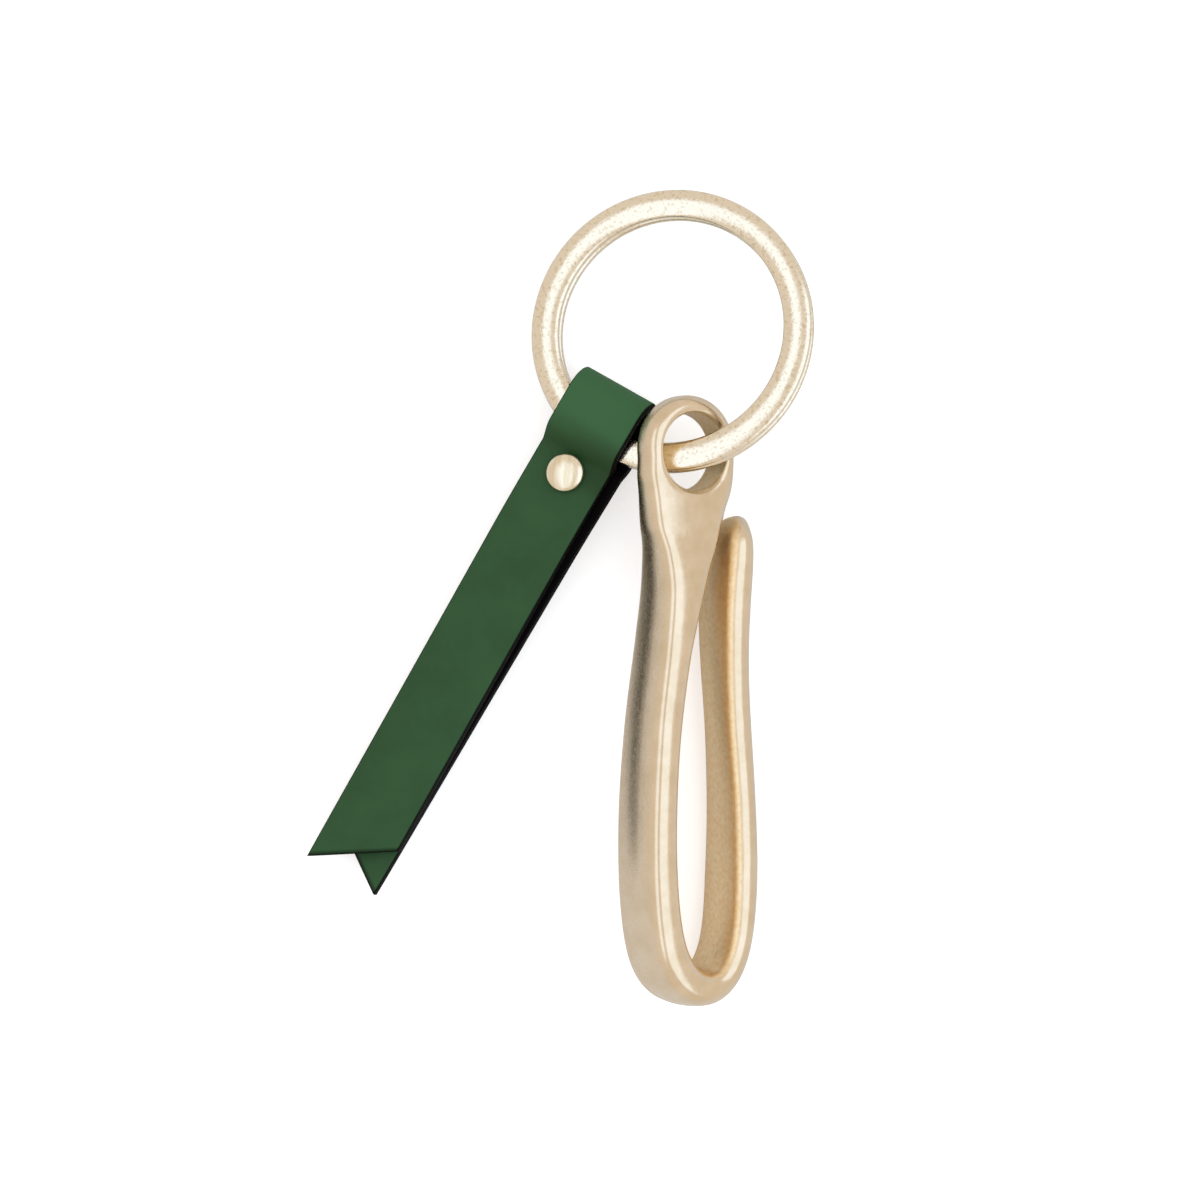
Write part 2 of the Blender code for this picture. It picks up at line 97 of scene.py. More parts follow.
def node(
    tree: bpy.types.NodeTree, kind: str, settings: dict | None = None, **links: object
) -> bpy.types.Node:
    """Add a node with its settings, its plain values and its links.

    Args:
        tree: The node tree that takes the node.
        kind: The node's Blender type name.
        settings: Attributes of the node, values of its sockets under whole numbers, and the places
            and hex colours of a ramp's stops under "stops".
        links: Socket names, with underscores for spaces, and the output or value that each takes.

    Returns:
        The new node.
    """
    made = tree.nodes.new(kind)
    for key, value in (settings or {}).items():
        if isinstance(key, int):
            connect(tree, made.inputs[key], value)
        elif key == "stops":
            for element, (place, colour) in zip(made.color_ramp.elements, value):
                element.position, element.color = place, linear(colour)
        else:
            setattr(made, key, value)
    wire(tree, made, **links)
    return made


def wire(tree: bpy.types.NodeTree, target: bpy.types.Node, **links: object) -> None:
    """Link or set a node's sockets, given by name with underscores for spaces."""
    for name, value in links.items():
        connect(tree, target.inputs[name.replace("_", " ")], value)


def connect(tree: bpy.types.NodeTree, socket: Socket, value: object) -> None:
    """Link an output to a socket, or set the socket's plain value.

    Args:
        tree: The socket's tree.
        socket: The socket.
        value: The output or the plain value.
    """
    if isinstance(value, Socket):
        tree.links.new(value, socket)
    else:
        socket.default_value = value


def eased(share: float) -> float:
    """Return a smooth climb from nought to one."""
    share = min(max(share, 0.0), 1.0)
    return share * share * (3 - 2 * share)


def climb(value: float, ends: Pair) -> float:
    """Return a smooth climb from nought at the first end to one at the second."""
    return eased((value - ends[0]) / (ends[1] - ends[0]))


def arc(centre: Pair, radius: float, start: float, end: float, steps: int) -> list[Pair]:
    """Return the points of a flat arc between two angles in degrees, both ends included."""
    angles = [math.radians(start + (end - start) * step / steps) for step in range(steps + 1)]
    return [(centre[0] + radius * math.cos(a), centre[1] + radius * math.sin(a)) for a in angles]


def heading(line: list[Vector], number: int) -> Vector:
    """Return the direction that a line has at one of its points, seen flat."""
    before, after = line[max(number - 1, 0)], line[min(number + 1, len(line) - 1)]
    return (after.xy - before.xy).normalized()


def extrude_rows(bm: bmesh.types.BMesh, rows: list[list[Vector]]) -> list[list[bmesh.types.BMVert]]:
    """Extrude a closed row of points through the rows after it and close both ends.

    Args:
        bm: The mesh that takes the faces.
        rows: Closed rows with as many points each.

    Returns:
        The vertices, row by row.
    """
    verts = [bm.verts.new(point) for point in rows[0]]
    edges = [bm.edges.new(pair) for pair in zip(verts, verts[1:] + verts[:1])]
    made = [verts]
    bmesh.ops.contextual_create(bm, geom=edges)
    for row in rows[1:]:
        result = bmesh.ops.extrude_edge_only(bm, edges=edges)["geom"]
        fresh = {item for item in result if isinstance(item, bmesh.types.BMVert)}
        partners = {}
        for vert in fresh:
            for edge in vert.link_edges:
                partners[edge.other_vert(vert)] = vert
        verts = [partners[vert] for vert in verts]
        for vert, point in zip(verts, row):
            vert.co = point
        lines = [item for item in result if isinstance(item, bmesh.types.BMEdge)]
        edges = [edge for edge in lines if set(edge.verts) <= fresh]
        made.append(verts)
    bmesh.ops.contextual_create(bm, geom=edges)
    return made


def spin_profile(profile: list[Pair], steps: int) -> bmesh.types.BMesh:
    """Spin a profile that starts and ends on the upright axis.

    Args:
        profile: Points as radius and height.
        steps: Number of steps round the axis.

    Returns:
        The closed turned shape.
    """
    bm = bmesh.new()
    points = [bm.verts.new((radius, 0, height)) for radius, height in profile]
    edges = [bm.edges.new(pair) for pair in zip(points, points[1:])]
    bmesh.ops.spin(
        bm, geom=points + edges, axis=(0, 0, 1), cent=(0, 0, 0), angle=math.tau, steps=steps,
        use_merge=True,
    )
    bmesh.ops.remove_doubles(bm, verts=bm.verts, dist=1e-7)
    bmesh.ops.recalc_face_normals(bm, faces=bm.faces)
    return bm


def add_object(name: str, data: bpy.types.ID) -> bpy.types.Object:
    """Add an object to the scene.

    Args:
        name: The object's name.
        data: Its mesh, light or camera.

    Returns:
        The new object.
    """
    made = bpy.data.objects.new(name, data)
    bpy.context.scene.collection.objects.link(made)
    return made


def add_piece(name: str, bm: bmesh.types.BMesh, place: Matrix | None = None) -> bpy.types.Object:
    """Turn a bmesh into an object at the origin with its place in its mesh.

    Args:
        name: The object's name.
        bm: The shape, which is freed.
        place: Where the shape goes.

    Returns:
        The new object, smooth shaded.
    """
    if place:
        bmesh.ops.transform(bm, matrix=place, verts=bm.verts)
    bmesh.ops.recalc_face_normals(bm, faces=bm.faces)
    mesh = bpy.data.meshes.new(name)
    bm.to_mesh(mesh)
    bm.free()
    mesh.shade_smooth()
    return add_object(name, mesh)


def add_boolean(thing: bpy.types.Object, operation: str, helper: bpy.types.Object) -> None:
    """Join a helper's shape to a piece, or cut it out of it, once the piece is baked.

    Args:
        thing: The piece.
        operation: The boolean's Blender name.
        helper: The object that holds the helper's shape.
    """
    boolean = thing.modifiers.new(operation.lower(), "BOOLEAN")
    boolean.operation = operation
    boolean.solver = "EXACT"
    boolean.object = helper


def bake(thing: bpy.types.Object, helpers: list[bpy.types.Object]) -> None:
    """Apply a piece's modifiers and remove the helpers that they used.

    Args:
        thing: The piece.
        helpers: The helpers' objects.
    """
    bpy.context.view_layer.update()
    evaluated = thing.evaluated_get(bpy.context.evaluated_depsgraph_get())
    baked = bpy.data.meshes.new_from_object(evaluated)
    thing.modifiers.clear()
    thing.data = baked
    baked.shade_smooth()
    for helper in helpers:
        bpy.data.objects.remove(helper, do_unlink=True)


def finish_piece(
    thing: bpy.types.Object, material: bpy.types.Material, body: Body, cad_node: str
) -> None:
    """Dress a piece, put it on its body and hide the node that it stands for.

    Args:
        thing: The piece.
        material: Its finish.
        body: The body that it rides on.
        cad_node: The node that it stands for.
    """
    thing.data.materials.clear()
    thing.data.materials.append(material)
    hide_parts(cad_node)
    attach(thing, body.value)
    LOG.info("%s: %d faces", thing.name, len(thing.data.polygons))


# Where the pieces lie


@dataclass(frozen=True)
class Layout:
    """How the three bodies lie on the table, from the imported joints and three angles."""

    hook_roll: float = 34.5
    ring_heading: float = -30.3
    ring_lean: float = 15.3

    def joint(self, name: str) -> dict:
        """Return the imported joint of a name."""
        return next(joint for joint in frame["joints"] if joint["name"] == name)

    def hook(self) -> Matrix:
        """Find the hook's place.

        Returns:
            The hole's centre as origin, with the shank along minus Y.
        """
        joint = self.joint("ring_roll")
        pitch = math.atan2(-joint["axis"][2], -joint["axis"][1])
        roll = Matrix.Rotation(math.radians(self.hook_roll), 4, "Y")
        turn = Matrix.Rotation(pitch, 4, "X") @ roll
        return Matrix.Translation(joint["pos_m"]) @ turn

    def ring(self) -> Matrix:
        """Find the ring's place.

        Returns:
            The ring's centre as origin, with the ring's normal as Z.
        """
        joint = self.joint("strap_slide")
        turn = Matrix.Rotation(math.radians(self.ring_heading), 4, "Z")
        lean = Matrix.Rotation(math.radians(-self.ring_lean), 4, "Y")
        return Matrix.Translation(joint["pos_m"]) @ turn @ lean


LAYOUT = Layout()


# Finishes

Stops = tuple[tuple[float, str], tuple[float, str]]
WHOLE = (0.0, 1.0)
# A noise stays between these two values nearly everywhere.
NOISE_RANGE = (0.3, 0.7)


def ranges(source: Pair, result: Pair) -> dict[int, float]:
    """Return both ranges of a map range as the values of its sockets one to four."""
    return dict(enumerate(source + result, start=1))


def start_finish(
    name: str,
) -> tuple[bpy.types.Material, bpy.types.NodeTree, bpy.types.Node, Socket]:
    """Start a finish as a new material.

    Args:
        name: The material's name.

    Returns:
        The material, its node tree, its shader and the piece's own coordinates.
    """
    made = bpy.data.materials.new(name)
    made.use_nodes = True
    tree = made.node_tree
    place = node(tree, "ShaderNodeTexCoord").outputs["Object"]
    return made, tree, tree.nodes["Principled BSDF"], place


@dataclass(frozen=True)
class CastBrass:
    """Cast brass, tumbled and champagne plated.

    The plating gives a pale warm gold with faint waves, and the tumbling a satin sheen with duller
    spots. Where the tumbling barely reaches, the sand of the mould leaves a deeper grain and a
    duller sheen, and there the colour is painted lighter and warmer: painted light, and a painted
    reflection of the brass round it.
    """

    plated: Stops = ((0.3, "#DAC7A9"), (0.65, "#E2D0B5"))
    # Lighter, warmer tones where the casting is barely tumbled: painted light and painted
    # reflection.
    cast_and_painted_light: Stops = ((0.2, "#EBC993"), (0.8, "#F8E5C2"))
    cast_start: float = 0.4
    roughness: Pair = (0.14, 0.22)
    cast_roughness: float = 0.40
    grain_mm: float = 0.22
    grain_strength: float = 0.35
    grain_depth: Pair = (0.012 * MM, 0.03 * MM)
    pit_mm: float = 0.55
    pit_range: Pair = (0.35, 0.7)
    wave_mm: float = 2.6
    wave_strength: float = 0.3
    wave_depth: float = 0.048 * MM

    def material(self) -> bpy.types.Material:
        """Build the finish's nodes.

        Returns:
            The finish as a material.
        """
        made, tree, shader, place = start_finish("cast_champagne_brass_tumbled")
        grain, pits, waves = (
            node(
                tree, "ShaderNodeTexNoise", Vector=place, Scale=1 / (size_mm * MM), Detail=detail,
                Roughness=rough,
            ).outputs["Fac"]
            for size_mm, detail, rough in (
                (self.grain_mm, 3.0, 0.6), (self.pit_mm, 2.0, 0.5), (self.wave_mm, 2.0, 0.5)
            )
        )
        # Barely tumbled faces: duller and deeper grained, and painted lighter and warmer.
        cast_and_light_mask = node(tree, "ShaderNodeAttribute", {"attribute_name": "as_cast_and_lit"}).outputs["Fac"]
        coarse_and_lit = node(
            tree, "ShaderNodeMapRange", ranges((self.cast_start, 1.0), WHOLE), Value=cast_and_light_mask
        ).outputs["Result"]
        plated = node(tree, "ShaderNodeValToRGB", {"stops": self.plated}, Fac=waves)
        cast_and_painted_light = node(tree, "ShaderNodeValToRGB", {"stops": self.cast_and_painted_light}, Fac=pits)
        colour = node(
            tree, "ShaderNodeMix",
            {"data_type": "RGBA", 0: coarse_and_lit, 6: plated.outputs["Color"], 7: cast_and_painted_light.outputs["Color"]},
        )
        sheen = node(
            tree, "ShaderNodeMapRange", ranges(self.pit_range, self.roughness), Value=pits
        ).outputs["Result"]
        rough = node(
            tree, "ShaderNodeMix", {"data_type": "FLOAT", 0: cast_and_light_mask, 2: sheen, 3: self.cast_roughness}
        )
        depth = node(
            tree, "ShaderNodeMapRange", ranges(WHOLE, self.grain_depth), Value=coarse_and_lit
        ).outputs["Result"]
        fine = node(
            tree, "ShaderNodeBump", Strength=self.grain_strength, Distance=depth, Height=grain
        )
        broad = node(
            tree, "ShaderNodeBump", Strength=self.wave_strength, Distance=self.wave_depth,
            Height=waves, Normal=fine.outputs["Normal"],
        )
        wire(
            tree, shader, Metallic=1.0, Base_Color=colour.outputs[2], Roughness=rough.outputs[0],
            Normal=broad.outputs["Normal"],
        )
        return made


@dataclass(frozen=True)
class DrawnWire:
    """Flat drawn wire, champagne plated and tumbled.

    It is brighter than the casting, and the tumbling's small dimples fray the edges of its long
    highlights. They are drawn coarser than the real ones, so that they show.
    """

    tones: Stops = ((0.33, "#D6C7AB"), (0.47, "#E9DEC9"))
    roughness: Pair = (0.12, 0.18)
    dimple_mm: float = 0.45
    dimple_strength: float = 0.42
    dimple_depth: float = 0.05 * MM

    def material(self) -> bpy.types.Material:
        """Build the finish's nodes.

        Returns:
            The finish as a material.
        """
        made, tree, shader, place = start_finish("drawn_champagne_brass_wire")
        dimples = node(
            tree, "ShaderNodeTexNoise", Vector=place, Scale=1 / (self.dimple_mm * MM), Detail=3.0,
            Roughness=0.55,
        ).outputs["Fac"]
        bump = node(
            tree, "ShaderNodeBump", Strength=self.dimple_strength, Distance=self.dimple_depth,
            Height=dimples,
        )
        sheen = node(
            tree, "ShaderNodeMapRange", ranges(NOISE_RANGE, self.roughness), Value=dimples
        )
        colour = node(tree, "ShaderNodeValToRGB", {"stops": self.tones}, Fac=dimples)
        wire(
            tree, shader, Metallic=1.0, Base_Color=colour.outputs["Color"],
            Roughness=sheen.outputs["Result"], Normal=bump.outputs["Normal"],
        )
        return made


@dataclass(frozen=True)
class BrushedCap:
    """Pressed brass cap, brushed along the strap and champagne plated.

    Its brushed lines roughen its sheen, and soft light and dark bands along the brushing are
    painted into its colour as painted highlight. Its lines are drawn coarser than the real ones,
    so that they show.
    """

    tones: Stops = ((0.4, "#E2D3B6"), (0.55, "#F0E5CF"))
    roughness: Pair = (0.2, 0.32)
    stretch: tuple[float, float, float] = (1.0, 0.06, 1.0)
    line_mm: float = 0.12
    line_strength: float = 0.3
    line_depth: float = 0.004 * MM
    # Width of the painted highlight bands.
    highlight_band_mm: float = 0.9

    def material(self) -> bpy.types.Material:
        """Build the finish's nodes.

        Returns:
            The finish as a material.
        """
        made, tree, shader, place = start_finish("pressed_champagne_brass_brushed")
        drawn = node(tree, "ShaderNodeMapping", Vector=place, Scale=self.stretch).outputs["Vector"]
        lines, highlight_bands = (
            node(
                tree, "ShaderNodeTexNoise", Vector=drawn, Scale=1 / (size_mm * MM), Detail=2.0,
                Roughness=rough,
            ).outputs["Fac"]
            for size_mm, rough in ((self.line_mm, 0.6), (self.highlight_band_mm, 0.5))
        )
        bump = node(
            tree, "ShaderNodeBump", Strength=self.line_strength, Distance=self.line_depth,
            Height=lines,
        )
        sheen = node(
            tree, "ShaderNodeMapRange", ranges(NOISE_RANGE, self.roughness), Value=lines
        )
        # Painted highlight: light and dark bands in the colour, along the brushing.
        colour = node(tree, "ShaderNodeValToRGB", {"stops": self.tones}, Fac=highlight_bands)
        wire(
            tree, shader, Metallic=1.0, Base_Color=colour.outputs["Color"],
            Roughness=sheen.outputs["Result"], Normal=bump.outputs["Normal"],
        )
        return made


@dataclass(frozen=True)
class PlainBrass:
    """Plain drawn brass of the rivet's inner pieces: duller and yellower than the plated caps."""

    colour: str = "#C9B48A"
    roughness: Pair = (0.28, 0.4)
    grain_mm: float = 0.2

    def material(self) -> bpy.types.Material:
        """Build the finish's nodes.

        Returns:
            The finish as a material.
        """
        made, tree, shader, place = start_finish("plain_drawn_brass")
        grain = node(
            tree, "ShaderNodeTexNoise", Vector=place, Scale=1 / (self.grain_mm * MM), Detail=2.0,
            Roughness=0.5,
        ).outputs["Fac"]
        sheen = node(
            tree, "ShaderNodeMapRange", ranges(NOISE_RANGE, self.roughness), Value=grain
        )
        wire(
            tree, shader, Metallic=1.0, Base_Color=linear(self.colour),
            Roughness=sheen.outputs["Result"],
        )
        return made


@dataclass(frozen=True)
class DyedLeather:
    """Vegetable tanned leather, dyed through and pressed smooth, its cut edges painted.

    The dye lies in faint clouds and the pressing leaves a dull, even sheen over fine pores. The
    colour also carries painted light: a painted sheen where the leather rounds over the wire and
    painted shade in a band above and round the rivet's cap. The edge paint is nearly black, and the
    same black stands as painted shade inside the loop and between the plies. The pores are drawn
    coarser than the real ones, so that they show.
    """

    dye: Stops = ((0.35, "#2B4D2C"), (0.7, "#305532"))
    # Painted sheen and painted shade, mixed into the dye's colour.
    painted_sheen: str = "#37623C"
    painted_crease_shade: str = "#22401F"
    # The edge paint's black, which also stands as painted shade inside the loop and between the
    # plies.
    edge: str = "#050304"
    roughness: Pair = (0.54, 0.68)
    specular_level: Pair = (0.2, 0.05)
    cloud_mm: float = 6.0
    pore_mm: float = 0.35
    pore_strength: float = 0.35
    pore_depth: float = 0.03 * MM

    def material(self) -> bpy.types.Material:
        """Build the finish's nodes.

        Returns:
            The finish as a material.
        """
        made, tree, shader, place = start_finish("green_dyed_smooth_leather")
        clouds, pores = (
            node(
                tree, "ShaderNodeTexNoise", Vector=place, Scale=1 / (size_mm * MM), Detail=detail,
                Roughness=rough,
            ).outputs["Fac"]
            for size_mm, detail, rough in ((self.cloud_mm, 4.0, 0.6), (self.pore_mm, 3.0, 0.65))
        )
        # The three attributes carry a painted sheen, painted shade, and the edge paint with painted
        # shade between the plies.
        stretch, crease, painted = (
            node(tree, "ShaderNodeAttribute", {"attribute_name": name}).outputs["Fac"]
            for name in ("stretch", "crease", "edge_paint")
        )
        colour = node(tree, "ShaderNodeValToRGB", {"stops": self.dye}, Fac=clouds).outputs["Color"]
        tones = ((stretch, self.painted_sheen), (crease, self.painted_crease_shade), (painted, self.edge))
        for share, tone in tones:
            colour = node(
                tree, "ShaderNodeMix", {"data_type": "RGBA", 0: share, 6: colour, 7: linear(tone)}
            ).outputs[2]
        sheen = node(
            tree, "ShaderNodeMapRange", ranges(NOISE_RANGE, self.roughness), Value=pores
        )
        gloss = node(
            tree, "ShaderNodeMapRange", ranges(WHOLE, self.specular_level), Value=painted
        )
        bump = node(
            tree, "ShaderNodeBump", Strength=self.pore_strength, Distance=self.pore_depth,
            Height=pores,
        )
        wire(
            tree, shader, Base_Color=colour, Roughness=sheen.outputs["Result"],
            Specular_IOR_Level=gloss.outputs["Result"], Normal=bump.outputs["Normal"],
        )
        return made


# Split ring


@dataclass(frozen=True)
class SplitRing:
    """Flat domed wire, wound twice, with its climb and both of its ends inside the strap's loop."""

    outer_diameter: float = 35.91 * MM
    band: float = 3.6 * MM
    turn_height: float = 1.4 * MM
    turn_gap: float = 0.3 * MM
    edge_radius: float = 0.5 * MM
    climb_start: float = 246.0
    climb_sweep: float = 28.0
    end_sweep: float = 1.5
    crown_steps: int = 14
    edge_steps: int = 8
    steps: int = 540

    def section(self) -> list[Pair]:
        """Draw the wire's section, with two wide crowns and two round edges.

        Returns:
            Points as (outwards, up) from the wire's middle, once round.
        """
        half, edge = self.turn_height / 2, self.edge_radius
        beside = self.band / 2 - edge
        crown = (beside**2 + half**2 - edge**2) / (2 * (half - edge))
        spread = math.degrees(math.asin(beside / (crown - edge)))
        points = arc((0.0, half - crown), crown, 90 - spread, 90 + spread, self.crown_steps)[:-1]
        points += arc((-beside, 0.0), edge, 90 + spread, 270 - spread, self.edge_steps)[:-1]
        return points + [(-out, -up) for out, up in points]

    def rows(self) -> list[list[Vector]]:
        """Lay the wire along both turns.

        Returns:
            Rows of points along the lower turn, the climb and the upper turn.
        """
        start = self.climb_start + self.climb_sweep + self.end_sweep
        end = self.climb_start + 720 - self.end_sweep
        middle = (self.outer_diameter - self.band) / 2
        level = (self.turn_height + self.turn_gap) / 2
        rows = []
        for step in range(self.steps + 1):
            angle = start + (end - start) * step / self.steps
            lift = 2 * eased((angle - self.climb_start - 360) / self.climb_sweep) - 1
            turn = Matrix.Rotation(math.radians(angle), 3, "Z")
            row = [Vector((middle + out, 0, lift * level + up)) for out, up in self.section()]
            rows.append([turn @ point for point in row])
        return rows

    def build(self) -> bpy.types.Object:
        """Build and dress the ring.

        Returns:
            The ring.
        """
        bm = bmesh.new()
        extrude_rows(bm, self.rows())
        made = add_piece("split_ring_wire", bm, LAYOUT.ring())
        finish_piece(made, DrawnWire().material(), Body.RING, "split_ring")
        return made


# Hook casting


@dataclass(frozen=True)
class HookCasting:
    """The casting: an eye, a neck that flattens, a shank, a bend, a limb and a thumb shaped tip."""

    reach: float = 68.4 * MM
    span: float = 16.42 * MM
    shank_width: float = 4.5 * MM
    bend_depth: float = 9.2 * MM
    edge_radius: float = 1.6 * MM
    wall_swell: float = 10.0
    face_crown: float = 5.0
    inner_side: Pair = (0.35, 0.75)
    outer_wall: Pair = (0.55, 0.85)
    # The outer wall's share of the barely tumbled look, which also paints it lighter.
    wall_cast_and_light_share: float = 0.4
    corner_shares: Pair = (0.46, 0.37)
    eye_depth: float = 4.4 * MM
    eye_rim: float = 1.9 * MM
    eye_crown_offset: float = 0.35 * MM
    eye_edge_radius: float = 1.65 * MM
    hole_radius: float = 4.797 * MM
    hole_edge_radius: float = 0.5 * MM
    corner_steps: int = 8
    wall_steps: int = 6
    steps_between: int = 5
    evening: int = 12
    spin_steps: int = 128
    voxel: float = 0.21 * MM
    smoothing: int = 10
    smoothing_factor: float = 0.5

    # inner_side and outer_wall say how far a surface has to face inwards, or outwards, where its
    # barely tumbled look, painted lighter and warmer, starts and where it is full.

    # Each row of both tables is the place across, the place below, the width and the depth. They
    # are shares of the eye's radius, diameter and depth in the first one, and of the casting's
    # span, its reach below the neck, the shank's width and the bend's depth in the second.
    NECK = (
        (0.000, 0.05, 0.990, 1.00), (0.000, 0.22, 0.985, 1.00), (-0.015, 0.46, 0.985, 1.01),
        (-0.045, 0.69, 0.945, 1.05), (-0.080, 0.92, 0.862, 1.11), (-0.110, 1.19, 0.806, 1.17),
        (-0.130, 1.42, 0.756, 1.21), (-0.145, 1.66, 0.692, 1.28),
    )
    SHANK_TO_TIP = (
        (-0.082, 0.036, 1.68, 0.720), (-0.104, 0.073, 1.45, 0.805), (-0.127, 0.113, 1.245, 0.864),
        (-0.165, 0.166, 1.11, 0.902), (-0.212, 0.232, 0.97, 0.930), (-0.254, 0.302, 0.925, 0.951),
        (-0.298, 0.383, 0.912, 0.962), (-0.329, 0.467, 0.885, 0.978), (-0.350, 0.555, 0.887, 1.00),
        (-0.359, 0.639, 0.890, 1.00), (-0.353, 0.722, 0.910, 1.00), (-0.337, 0.788, 0.92, 1.00),
        (-0.304, 0.853, 0.94, 1.00), (-0.258, 0.902, 0.98, 0.995), (-0.172, 0.944, 1.02, 0.99),
        (-0.036, 0.973, 0.98, 0.98), (0.108, 0.976, 0.87, 0.97), (0.217, 0.962, 0.78, 0.955),
        (0.298, 0.937, 0.74, 0.945), (0.369, 0.892, 0.74, 0.935), (0.406, 0.840, 0.76, 0.93),
        (0.430, 0.748, 0.80, 0.935), (0.436, 0.646, 0.79, 0.88), (0.428, 0.557, 0.77, 0.848),
        (0.413, 0.470, 0.81, 0.793), (0.393, 0.383, 0.815, 0.761), (0.364, 0.269, 0.80, 0.826),
        (0.361, 0.175, 0.83, 0.87), (0.379, 0.088, 0.85, 0.891), (0.405, 0.043, 0.81, 0.848),
        (0.421, -0.004, 0.76, 0.795), (0.449, -0.0255, 0.63, 0.64), (0.473, -0.0388, 0.47, 0.48),
        (0.487, -0.0477, 0.33, 0.34), (0.492, -0.0532, 0.20, 0.20), (0.494, -0.0559, 0.067, 0.065),
    )

    def stations(self) -> list[Vector]:
        """Scale both tables.

        Returns:
            Rows of (across, up, width, depth) from the eye to the tip.
        """
        eye = self.hole_radius + self.eye_rim
        rows = [
            Vector((across * eye, -below * eye, width * 2 * eye, depth * self.eye_depth))
            for across, below, width, depth in self.NECK
        ]
        neck_end = -rows[-1][1]
        for across, below, width, depth in self.SHANK_TO_TIP:
            up = -neck_end - below * (self.reach - neck_end)
            sizes = (width * self.shank_width, depth * self.bend_depth)
            rows.append(Vector((across * self.span, up, *sizes)))
        return rows

    def run(self) -> list[Vector]:
        """Run smoothly through the stations, paced by the distance between them.

        Returns:
            Rows of (across, up, width, depth), closer together than the stations.
        """
        rows = self.stations()
        chords = [(after.xy - before.xy).length for before, after in zip(rows, rows[1:])]
        rates = [(after - before) / chord for before, after, chord in zip(rows, rows[1:], chords)]
        slopes = [rates[0]]
        for number in range(1, len(rates)):
            first, second = chords[number - 1], chords[number]
            slopes.append((rates[number - 1] * second + rates[number] * first) / (first + second))
        slopes.append(rates[-1])
        made = []
        for number, chord in enumerate(chords):
            for step in range(self.steps_between):
                share = step / self.steps_between
                leave = share * (1 - share) ** 2 * chord
                arrive = share * share * (share - 1) * chord
                row = rows[number].lerp(rows[number + 1], eased(share))
                made.append(row + slopes[number] * leave + slopes[number + 1] * arrive)
        return made + [rows[-1]]

    def evened(self, rows: list[Vector]) -> list[Vector]:
        """Draw each row towards its neighbours, as wear does, and keep both ends.

        Args:
            rows: Rows of (across, up, width, depth).

        Returns:
            The evened rows.
        """
        for _ in range(self.evening):
            inner = [
                (before + row * 2 + after) / 4
                for before, row, after in zip(rows, rows[1:], rows[2:])
            ]
            rows = [rows[0]] + inner + [rows[-1]]
        return rows

    def section(self, width: float, depth: float) -> list[Pair]:
        """Draw the casting's section, with soft corners and with walls and faces that swell.

        Args:
            width: The station's width at the ends of its walls.
            depth: The station's depth.

        Returns:
            Points as (across, deep), once round.
        """
        soft = min(self.edge_radius, self.corner_shares[0] * width, self.corner_shares[1] * depth)
        across = width / 2 - soft
        deep = depth / 2 - soft
        swell, crown = self.wall_swell, self.face_crown
        wall = soft + deep / math.sin(math.radians(swell))
        middle = across - (wall - soft) * math.cos(math.radians(swell))
        face = soft + across / math.sin(math.radians(crown))
        below = deep - (face - soft) * math.cos(math.radians(crown))
        points = arc((across, deep), soft, swell, 90 - crown, self.corner_steps)[:-1]
        points += arc((0.0, below), face, 90 - crown, 90 + crown, self.wall_steps)[:-1]
        points += arc((-across, deep), soft, 90 + crown, 180 - swell, self.corner_steps)[:-1]
        points += arc((-middle, 0.0), wall, 180 - swell, 180 + swell, self.wall_steps)[:-1]
        return points + [(-x, -y) for x, y in points]

    def rows(self) -> list[list[Vector]]:
        """Lay the section along the run.

        Returns:
            Rows of points from the neck to the tip, in the hook's own frame.
        """
        run = self.evened(self.run())
        rows = []
        for number, row in enumerate(run):
            along = heading(run, number)
            side = Vector((-along.y, along.x))
            places = []
            for across, deep in self.section(row[2], row[3]):
                place = row.xy + side * across
                places.append(Vector((place.x, place.y, deep)))
            rows.append(places)
        return rows

    def eye_profile(self) -> list[Pair]:
        """Draw half of the eye disc's outline.

        Returns:
            Points as (radius, height), from its back to its front.
        """
        half, soft = self.eye_depth / 2, self.eye_edge_radius
        edge = self.hole_radius + self.eye_rim - soft
        back = arc((edge, soft - half), soft, -90, 0, self.corner_steps)
        front = arc((edge, half - soft), soft, 0, 90, self.corner_steps)
        return [(0.0, -half)] + back + front + [(0.0, half)]

    def hole_profile(self) -> list[Pair]:
        """Draw half of the hole's outline, flared to round the hole's two edges.

        Returns:
            Points as (radius, height), from its back to its front.
        """
        half, soft = self.eye_depth / 2, self.hole_edge_radius
        flare, end = self.hole_radius + soft, self.bend_depth
        back = arc((flare, soft - half), soft, 270, 180, self.corner_steps)
        front = arc((flare, half - soft), soft, 180, 90, self.corner_steps)
        return [(0.0, -end), (flare, -end)] + back + front + [(flare, end), (0.0, end)]

    def mark_as_cast_and_lit(self, mesh: bpy.types.Mesh) -> None:
        """Mark the inner side and hole wall as barely tumbled and painted lighter, the outer wall in
        part.

        Args:
            mesh: The casting's mesh, in the hook's own frame.
        """
        run = self.run()
        places = KDTree(len(run))
        for number, row in enumerate(run):
            places.insert((row.x, row.y, 0.0), number)
        places.balance()
        shares = []
        for vert in mesh.vertices:
            flat = vert.co.xy
            number = min(max(places.find((flat.x, flat.y, 0.0))[1], 1), len(run) - 2)
            along = heading(run, number)
            inward = vert.normal.x * -along.y + vert.normal.y * along.x
            if flat.length < self.hole_radius + self.hole_edge_radius:
                inward = -vert.normal.xy.dot(flat.normalized())
            inner = climb(inward, self.inner_side)
            # The share dulls these faces and paints them lighter and warmer: painted light on the
            # inner side, the hole's wall and part of the outer wall.
            shares.append(inner + self.wall_cast_and_light_share * climb(-inward, self.outer_wall))
        mesh.attributes.new("as_cast_and_lit", "FLOAT", "POINT").data.foreach_set("value", shares)

